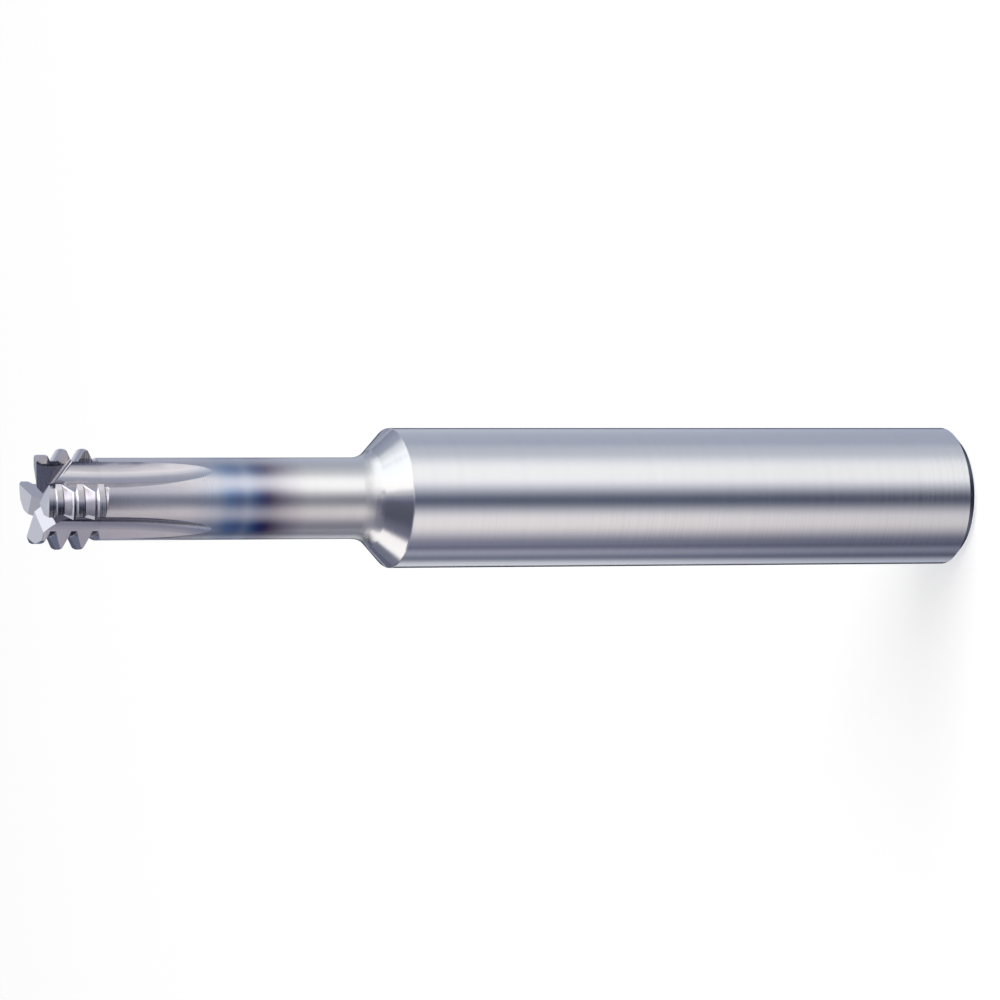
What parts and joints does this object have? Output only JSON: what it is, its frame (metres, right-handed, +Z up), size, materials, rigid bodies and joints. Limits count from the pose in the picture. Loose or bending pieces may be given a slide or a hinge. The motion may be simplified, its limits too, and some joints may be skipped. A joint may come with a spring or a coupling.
{
  "type": "thread mill",
  "caption": "Solid carbide thread mill with a plain round shank, a conical shoulder, a slim neck and a straight-fluted head whose teeth have the thread's form.",
  "frame": {"origin": "centre of the flat end of the shank, which is the base that the tool stands on", "axes": "+Z runs up the tool's axis to the cutting tip; +X and +Y are square to it, with the first cutting edge 23.1 degrees clockwise from +X seen from the tip"},
  "size_m": [0.008, 0.008, 0.057],
  "materials": {
    "carbide": "ground bare metal on the shank and shoulder, thin grey-violet coating on the neck and head"
  },
  "bodies": {
    "root": {"thread_mill": "carbide"}
  },
  "joints": []
}
